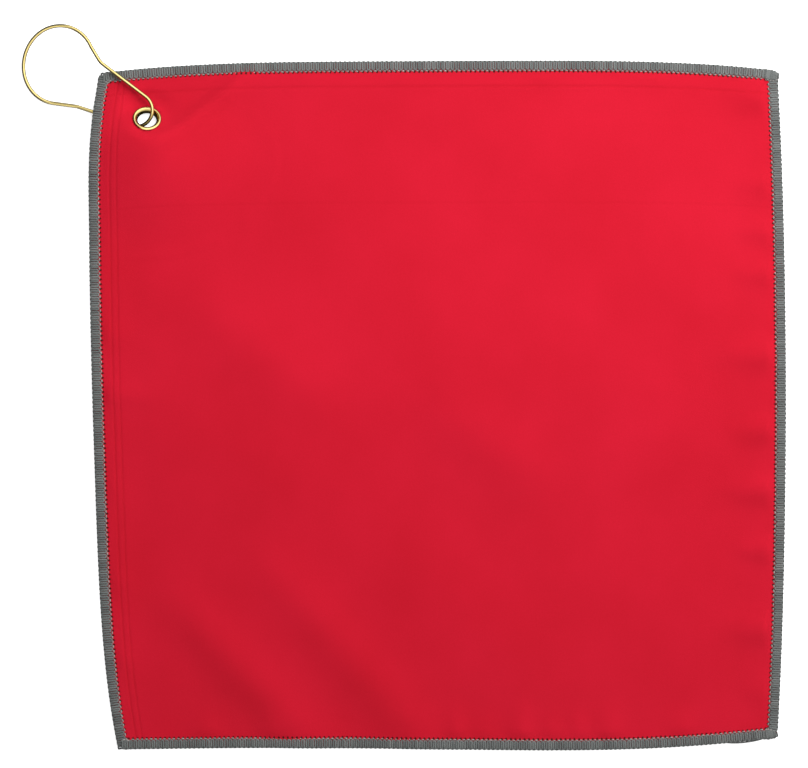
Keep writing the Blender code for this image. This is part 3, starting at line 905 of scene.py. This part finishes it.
for side, (first, last, tail_width) in sides.items():
    for kind, (tree, sizes) in threads.items():
        name = f"{kind}_{side}"
        rail = stitch_rail(side, first, last, tail_width)
        seed = len(seams) + 11
        sizes = {**sizes, "Stitch length": STITCH, "Seed": seed}
        grown = grow(f"{name}_stitches", rail, tree, sizes)
        piece = finished(f"{name}_stitches", grown, "towel")
        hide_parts(name)
        seams.append(piece)
        print(piece.name, len(piece.data.polygons), "faces")

# %% [markdown]
# ## One loose strand
# Near the bottom right corner one strand of the overlock has worked loose, and bows
# out from the rim before it goes back under the tail. It is a plain round sweep along
# a short rail, so it has a tree of its own, and the hook's wire uses the same one.

# %% Loose strand
LOOSE_FROM = 61.4
LOOSE_TO = 69.4
STRAND_POINTS = 33
STRAND_RADIUS = 0.42 * MM


def plain_sweep_tree(name, sides, material):
    """Tree that sweeps a round section along a rail, and does nothing else."""
    tree = bpy.data.node_groups.new(name, "GeometryNodeTree")
    sizes = add_inputs(tree, {"Radius": "Float"})
    rail = sizes["Rail"].node("GeometryNodeMeshToCurve", {}, {"Mesh": sizes["Rail"]})
    sweep(rail, sizes["Radius"], sides, material)
    return tree


def loose_rail():
    share = np.linspace(0.0, 1.0, STRAND_POINTS)
    rim = -np.ones(STRAND_POINTS)
    places = (LOOSE_FROM + (LOOSE_TO - LOOSE_FROM) * share) * STITCH / HALF_WIDTH
    x, y = outline(places, rim)
    y = y - (1.25 * np.sin(math.pi * share) ** 0.6 - 0.5) * MM
    height = cloth_height(places, rim) - 0.35 * MM * np.sin(math.pi * share)
    points = np.column_stack([x, y, height])
    return row_mesh("loose_rail", points.tolist(), tone=np.full(STRAND_POINTS, 0.5))


strand_tree = plain_sweep_tree("loose_strand_sweep", THREAD_SIDES, looper_grey)
strand_mesh = grow("loose_thread_strand", loose_rail(), strand_tree, {"Radius": STRAND_RADIUS})
strand = finished("loose_thread_strand", strand_mesh, "towel")
seams.append(strand)
print(strand.name, len(strand.data.polygons), "faces")

# %% [markdown]
# ## Brass
# The eyelet, its washer and the hook are bright plated brass. A flat gold colour
# looks like plastic, because real metal is seen by what it reflects. So the finish is
# fully metallic and quite smooth, its roughness drifts with faint rubbed patches and
# fine scratches, and the plating is a little deeper and browner in some places.
# Inside the eyelet's barrel, and on the wire where it passes through, the brass is
# painted dark brown as shade.

# %% Brass material
HOLE_EDGE = 6.3 * MM
HOLE_EDGE_WIDTH = 0.8 * MM
HOLE_TOP = 3.6 * MM
HOLE_FALL = 2.4 * MM


def in_the_hole(start):
    """1 inside the eyelet's barrel, falling to 0 at its flange; there the brass gets painted
    shade.
    """
    offset = start.vector("SUBTRACT", start, GROMMET)
    above = start.vector("DOT_PRODUCT", offset, GROMMET_NORMAL, 1)
    reach = start.vector("LENGTH", offset, out=1)
    aside = start.maths("SQRT", reach * reach - above * above)
    beside = ((HOLE_EDGE - aside) / HOLE_EDGE_WIDTH).most(0.0).least(1.0)
    below = ((HOLE_TOP - above) / HOLE_FALL).most(0.0).least(1.0)
    return beside * below


def brass_material(name, stretch):
    """Plated brass, its fine scratches stretched by the given scale."""
    material, shader, start = new_material(
        name, Metallic=1.0, Specular_Tint=(0.30, 0.24, 0.08, 1.0)
    )
    drawn = start.node("ShaderNodeMapping", {}, {"Vector": start, "Scale": stretch})
    patches = noise(start, start, 160.0, 3.0, 0.6)
    scratches = noise(start, drawn, 900.0, 4.0, 0.7)
    rub = noise(start, start, 55.0, 2.0, 0.5)
    tone = patches * 0.7 + scratches * 0.3
    bright = blend_colours(start, tone, (0.58, 0.43, 0.14), (0.82, 0.69, 0.30))
    # Painted shade: the brass is darkened inside the eyelet's barrel and on the wire there.
    shade = in_the_hole(start) * 0.85
    feed(
        shader, Base_Color=blend_colours(start, shade, bright, (0.10, 0.07, 0.015)),
        Roughness=0.10 + rub * 0.10 + scratches * 0.10,
        Normal=relief(start, scratches, 0.02 * MM, 0.35),
    )
    return material


turned_brass = brass_material("turned_brass", (1.0, 1.0, 1.0))
wire_brass = brass_material("drawn_brass_wire", (0.5, 0.5, 1.0))
print(turned_brass.name, wire_brass.name)

# %% [markdown]
# ## The eyelet and its washer
# An eyelet is pressed from sheet brass: a barrel that goes through the cloth, and a
# flange rolled over into a round bead that slopes down into the hole like a trumpet.
# On the back the barrel's end is rolled out over a washer to grip the cloth. Both are
# turned shapes, so each one is a closed outline of radius and height that is spun
# round the eyelet's own axis. Spinning keeps the bead exactly round, and the corners
# of the outline are rounded first, so that each edge catches a line of light.

# %% Turned pieces
TURN_STEPS = 96


def rounded_outline(corners, steps=5):
    """Closed outline of (radius, height, rounding) corners, each rounded by a curve."""
    rounded = []
    for index, (radius, height, rounding) in enumerate(corners):
        here = Vector((radius, height))
        before = Vector(corners[index - 1][:2])
        after = Vector(corners[(index + 1) % len(corners)][:2])
        start = here + (before - here).normalized() * rounding
        end = here + (after - here).normalized() * rounding
        for step in range(steps + 1):
            share = step / steps
            arc = start * (1 - share) ** 2 + here * 2 * share * (1 - share) + end * share ** 2
            rounded.append(arc)
    return rounded


def turned(name, corners):
    """A ring turned about the eyelet's axis, in its place on the towel."""
    outline_points = rounded_outline([[value * MM for value in corner] for corner in corners])
    bm = bmesh.new()
    rings = []
    for step in range(TURN_STEPS):
        turn = Matrix.Rotation(2 * math.pi * step / TURN_STEPS, 3, "Z")
        spots = [GROMMET + GROMMET_TURN @ turn @ Vector((p.x, 0, p.y)) for p in outline_points]
        rings.append([bm.verts.new(spot) for spot in spots])
    for ring, after in zip(rings, rings[1:] + rings[:1]):
        for index in range(len(ring)):
            bm.faces.new((ring[index - 1], ring[index], after[index], after[index - 1]))
    bmesh.ops.remove_doubles(bm, verts=bm.verts, dist=1e-7)
    bmesh.ops.recalc_face_normals(bm, faces=bm.faces)
    mesh = bpy.data.meshes.new(name)
    bm.to_mesh(mesh)
    bm.free()
    mesh.shade_smooth()
    mesh.materials.append(turned_brass)
    return finished(name, mesh, "towel")


# Each corner: radius, height and rounding in mm, from the flange round by the barrel
eyelet = turned("eyelet_rolled_flange", [
    (7.9, 0.82, 0.15), (7.86, 1.35, 0.3), (7.3, 1.68, 0.35), (6.5, 1.62, 0.35),
    (5.65, 0.95, 0.4), (5.2, 0.1, 0.4), (5.2, -1.35, 0.2), (5.6, -1.78, 0.15),
    (6.3, -1.80, 0.12), (6.9, -1.62, 0.1), (6.9, -1.46, 0.05), (5.7, -1.45, 0.1),
    (5.7, 0.6, 0.3), (6.3, 1.2, 0.2), (7.2, 1.3, 0.15), (7.55, 0.82, 0.1),
])
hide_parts("grommet_eyelet")
washer = turned("eyelet_washer", [
    (6.0, -0.80, 0.08), (7.5, -0.80, 0.15), (7.9, -0.975, 0.12),
    (7.5, -1.15, 0.15), (6.0, -1.15, 0.08),
])
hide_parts("grommet_washer")
print(eyelet.name, len(eyelet.data.polygons), washer.name, len(washer.data.polygons))

# %% [markdown]
# ## The sprung wire hook
# The hook is one length of round brass wire. It starts as a pin under the towel,
# turns up through the eyelet, runs out along the upper leg, goes round the bulb that
# hangs from a ring, and comes back along the lower leg to a small crook that catches
# under the pin. The route is written in the hook's own plane, as the CAD model has
# it: straight legs, arcs, and kinks rounded by arcs, only with finer steps.
#
# The CAD model hinges the wire at the far end of the bulb to let it spring open. The
# dressed wire is unbroken there instead, as the real one is, so most of it is one
# piece that stays where the CAD model puts it at rest, on neither half's body.

# %% Wire route
BULB_RADIUS = 20.65 * MM
BULB_OVAL = 0.85 * MM
BULB_OVAL_ANGLE = math.radians(105)
FRONT_LEAVES_AT = 60
BACK_LEAVES_AT = 295
KINK_RADIUS = 11.0 * MM
FRONT_LEG_SLOPE = 5.5
PIN_END = 37.0 * MM
CATCH_BEND = 1.3 * MM
CATCH_TAIL = 0.6 * MM
TIP_LENGTH = 0.5 * MM


def bulb_point(degrees):
    """Point of the bulb, which is slightly oval, at an angle in the hook's plane."""
    angle = math.radians(degrees)
    radius = BULB_RADIUS + BULB_OVAL * math.cos(2 * (angle - BULB_OVAL_ANGLE))
    return Vector((radius * math.cos(angle), radius * math.sin(angle), 0))


def rounded_corner(before, corner, after, radius, steps=14):
    """Points of the arc that rounds a corner between two straight runs."""
    back = (before - corner).normalized()
    onward = (after - corner).normalized()
    half = back.angle(onward) / 2
    reach = radius / math.tan(half)
    centre = corner + (back + onward).normalized() * (radius / math.sin(half))
    start = corner + back * reach - centre
    sweep_angle = math.pi - 2 * half
    axis = start.cross(corner + onward * reach - centre).normalized()
    return [
        centre + Matrix.Rotation(sweep_angle * step / steps, 3, axis) @ start
        for step in range(steps + 1)
    ]


def straight(start, end, count):
    """Points along a straight run, without its two ends."""
    return [start.lerp(end, step / count) for step in range(1, count)]


def arc_steps(centre, radius, first, last, count):
    """Points of an arc in the hook's plane, from one angle in degrees to another."""
    angles = [math.radians(first + (last - first) * step / count) for step in range(count + 1)]
    return [centre + radius * Vector((math.cos(a), math.sin(a), 0)) for a in angles]


def wire_routes():
    """The bow, from the eyelet round the bulb to the catch, and the turn with the pin."""
    centre = Vector((*TURN_CENTRE, 0))
    turn = arc_steps(centre, TURN_RADIUS, 90 - FRONT_LEG_SLOPE, -90, 44)
    front_kink = Vector((*FRONT_KINK, 0))
    back_kink = Vector((*BACK_KINK, 0))
    bulb = [bulb_point(FRONT_LEAVES_AT + degrees) for degrees in
            range(0, BACK_LEAVES_AT - FRONT_LEAVES_AT + 1, 3)]
    front_bend = rounded_corner(turn[0], front_kink, bulb[0], KINK_RADIUS)
    above = 2 * CATCH_BEND - WIRE_REACH
    leg_end = Vector((CATCH_PLACE, PIN_B - WIRE_REACH, above))
    back_bend = rounded_corner(bulb[-1], back_kink, leg_end, KINK_RADIUS)
    angles = [math.radians(90 * step / 8) for step in range(1, 9)]
    crook = [leg_end + CATCH_BEND * Vector((math.sin(a), 0, math.cos(a) - 1)) for a in angles]
    heel = crook[-1]
    crook += [heel + CATCH_BEND * Vector((0, 1 - math.cos(a), -math.sin(a))) for a in angles]
    tail = crook[-1].copy()
    tail.y = PIN_B + CATCH_TAIL
    bow_route = [turn[0], *straight(turn[0], front_bend[0], 12), *front_bend, *bulb,
                 *back_bend, *straight(back_bend[-1], leg_end, 8), leg_end, *crook, tail]
    pin_end = Vector((PIN_END, PIN_B, 0))
    return bow_route, [*turn, *straight(turn[-1], pin_end, 6), pin_end]


bow_route, turn_route = wire_routes()
print("wire points", len(bow_route), len(turn_route))

# %% [markdown]
# ## Drawing the wire
# The plain tree sweeps a round section along the route, as a die draws wire. Its tip is
# eased down by the rail's own radius over the last half millimetre, because a cut
# wire end is filed so that it doesn't catch in the cloth. The wire is a full two
# millimetres here, which takes a tenth from each of the CAD model's wider clearances.

# %% Wire
WIRE_SIDES = 20
DRAWN_RADIUS = 1.0 * MM
# Each step of the filed tip: share of its length from the end, share of the radius
TIP_TAPER = [(1.0, 1.0), (0.6, 0.97), (0.3, 0.88), (0.1, 0.72), (0.0, 0.5)]


def wire_rail(name, route):
    """Line of a route's points in the world, with its filed tip at the last one."""
    tip = (route[-1] - route[-2]).normalized() * TIP_LENGTH
    filed = [route[-1] - tip * share for share, _ in TIP_TAPER]
    points = [hook_point(*point) for point in route[:-1] + filed]
    radius = np.ones(len(points))
    radius[-len(TIP_TAPER):] = [taper for _, taper in TIP_TAPER]
    return row_mesh(name, points, radius=radius)


drawn_wire = plain_sweep_tree("drawn_wire", WIRE_SIDES, wire_brass)
wire_sizes = {"Radius": DRAWN_RADIUS}
bow_mesh = grow("hook_wire_bow", wire_rail("bow_rail", bow_route), drawn_wire, wire_sizes)
turn_mesh = grow("hook_wire_turn", wire_rail("turn_rail", turn_route), drawn_wire, wire_sizes)
wire_bow = finished("hook_wire_bow", bow_mesh, None)
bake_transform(wire_bow)
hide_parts("hook_wire_front", "hook_wire_back")
wire_turn = finished("hook_wire_turn", turn_mesh, "hook_front")
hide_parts("hook_wire_front")
print("wire faces", len(wire_bow.data.polygons), len(wire_turn.data.polygons))

# %% [markdown]
# ## Table, light and camera
# The towel lies on a plain white table. One large soft light stands beyond the upper
# right corner, so every ridge shows by its shaded side, and a small lamp close above
# the top edge makes the cloth brightest there. Brass shows only what it reflects, so the
# sky is a bright dome with a dark flag to its left, which draws a dark line down the
# left of the wire. The window and the lamp aren't seen in the brass, where they would
# burn out. The table glows to the camera alone, which keeps it white behind the towel
# and opens the shadows without lighting the brass from below. Seen in the brass, the
# table is painted dark grey, which gives the brass painted dark reflections along the
# edges that face it. The camera hangs straight above.

# %% Stage
TABLE_GLOW = 0.75
CAMERA_HEIGHT = 1.245
CAMERA_SHIFT = (0.0003, 0.0019)
LENS = 100.0
SENSOR = 36.0


def make_floor(level):
    bm = bmesh.new()
    bmesh.ops.create_circle(bm, cap_ends=True, radius=6.0, segments=96)
    bmesh.ops.translate(bm, verts=bm.verts, vec=(0, 0, level))
    mesh = bpy.data.meshes.new("white_table")
    bm.to_mesh(mesh)
    bm.free()
    table = placed("white_table", mesh)
    material, shader, start = new_material("matt_white_table", Roughness=0.9)
    cloud = noise(start, start, 3.0)
    seen = start.node("ShaderNodeLightPath")
    glossy = Shade(seen.socket.node.outputs["Is Glossy Ray"])
    pale = blend_colours(start, cloud, (0.71, 0.71, 0.71), (0.73, 0.73, 0.73))
    # Painted reflection: the table is dark grey only where the brass reflects it.
    feed(
        shader, Base_Color=blend_colours(start, glossy, pale, (0.16, 0.16, 0.16)),
        Emission_Color=blend_colours(start, seen, (0.0, 0.0, 0.0), (1.0, 1.0, 1.0)),
    )
    shader.inputs["Emission Strength"].default_value = TABLE_GLOW
    mesh.materials.append(material)
    return table


def soft_light(name, place, target, size, power):
    light = bpy.data.lights.new(name, "AREA")
    light.shape = "RECTANGLE"
    light.size, light.size_y = size
    light.energy = power
    lamp = placed(name, light)
    lamp.location = place
    lamp.rotation_mode = "QUATERNION"
    lamp.rotation_quaternion = (Vector(target) - Vector(place)).to_track_quat("-Z", "Y")
    return lamp


def toward(start, direction, low, high):
    """0 below low and 1 above high, of how nearly a view goes in that direction."""
    axis = Vector(direction).normalized()
    share = start.vector("DOT_PRODUCT", start, axis, 1)
    settings = {"interpolation_type": "SMOOTHSTEP"}
    return start.node("ShaderNodeMapRange", settings, {0: share, 1: low, 2: high})


def studio_sky(strength):
    """Bright dome with a dark flag to the left, and plain white where seen directly."""
    world = bpy.data.worlds.new("studio_sky")
    world.use_nodes = True
    tree = world.node_tree
    start = Shade(tree.nodes.new("ShaderNodeTexCoord").outputs["Generated"])
    open_sky = 0.12 + toward(start, (0, 0, 1), 0.0, 0.45) * 0.88
    flag = 1 - toward(start, (-0.80, 0.22, 0), 0.22, 0.46) * 0.98
    glow = 1 + toward(start, (0.35, 0.50, 0.79), 0.60, 0.97) * 0.5
    seen = start.node("ShaderNodeLightPath")
    glossy = Shade(seen.socket.node.outputs["Is Glossy Ray"])
    level = open_sky * flag * glow * (0.25 + glossy * 0.29)
    dome = blend_colours(start, level, (0, 0, 0), (4, 4, 4))
    plain = (1 / strength, 1 / strength, 1 / strength)
    colour = blend_colours(start, seen, dome, plain)
    sky = tree.nodes["Background"]
    tree.links.new(colour.socket, sky.inputs["Color"])
    sky.inputs["Strength"].default_value = strength
    bpy.context.scene.world = world


def overhead_camera():
    lens = bpy.data.cameras.new("overhead_camera")
    lens.lens = LENS
    lens.sensor_width = SENSOR
    lens.clip_start = 0.05
    lens.clip_end = 20.0
    camera = placed("overhead_camera", lens)
    middle = (cad_box[0] + cad_box[1]) / 2
    camera.location = (middle.x + CAMERA_SHIFT[0], middle.y + CAMERA_SHIFT[1], CAMERA_HEIGHT)
    bpy.context.scene.camera = camera
    return camera


make_floor(cad_box[0].z - 0.1 * MM)
window = soft_light("window", (0.48, 0.72, 0.92), (0.0, 0.02, 0.0), (1.6, 1.3), 14.0)
lamp = soft_light("top_lamp", (0.18, 0.34, 0.60), (0.14, 0.24, 0.0), (0.5, 0.4), 3.7)
for light in (window, lamp):
    light.visible_glossy = False
studio_sky(0.65)
camera = overhead_camera()
bpy.context.scene.view_settings.view_transform = "Standard"
print("camera", [round(value, 4) for value in camera.location])
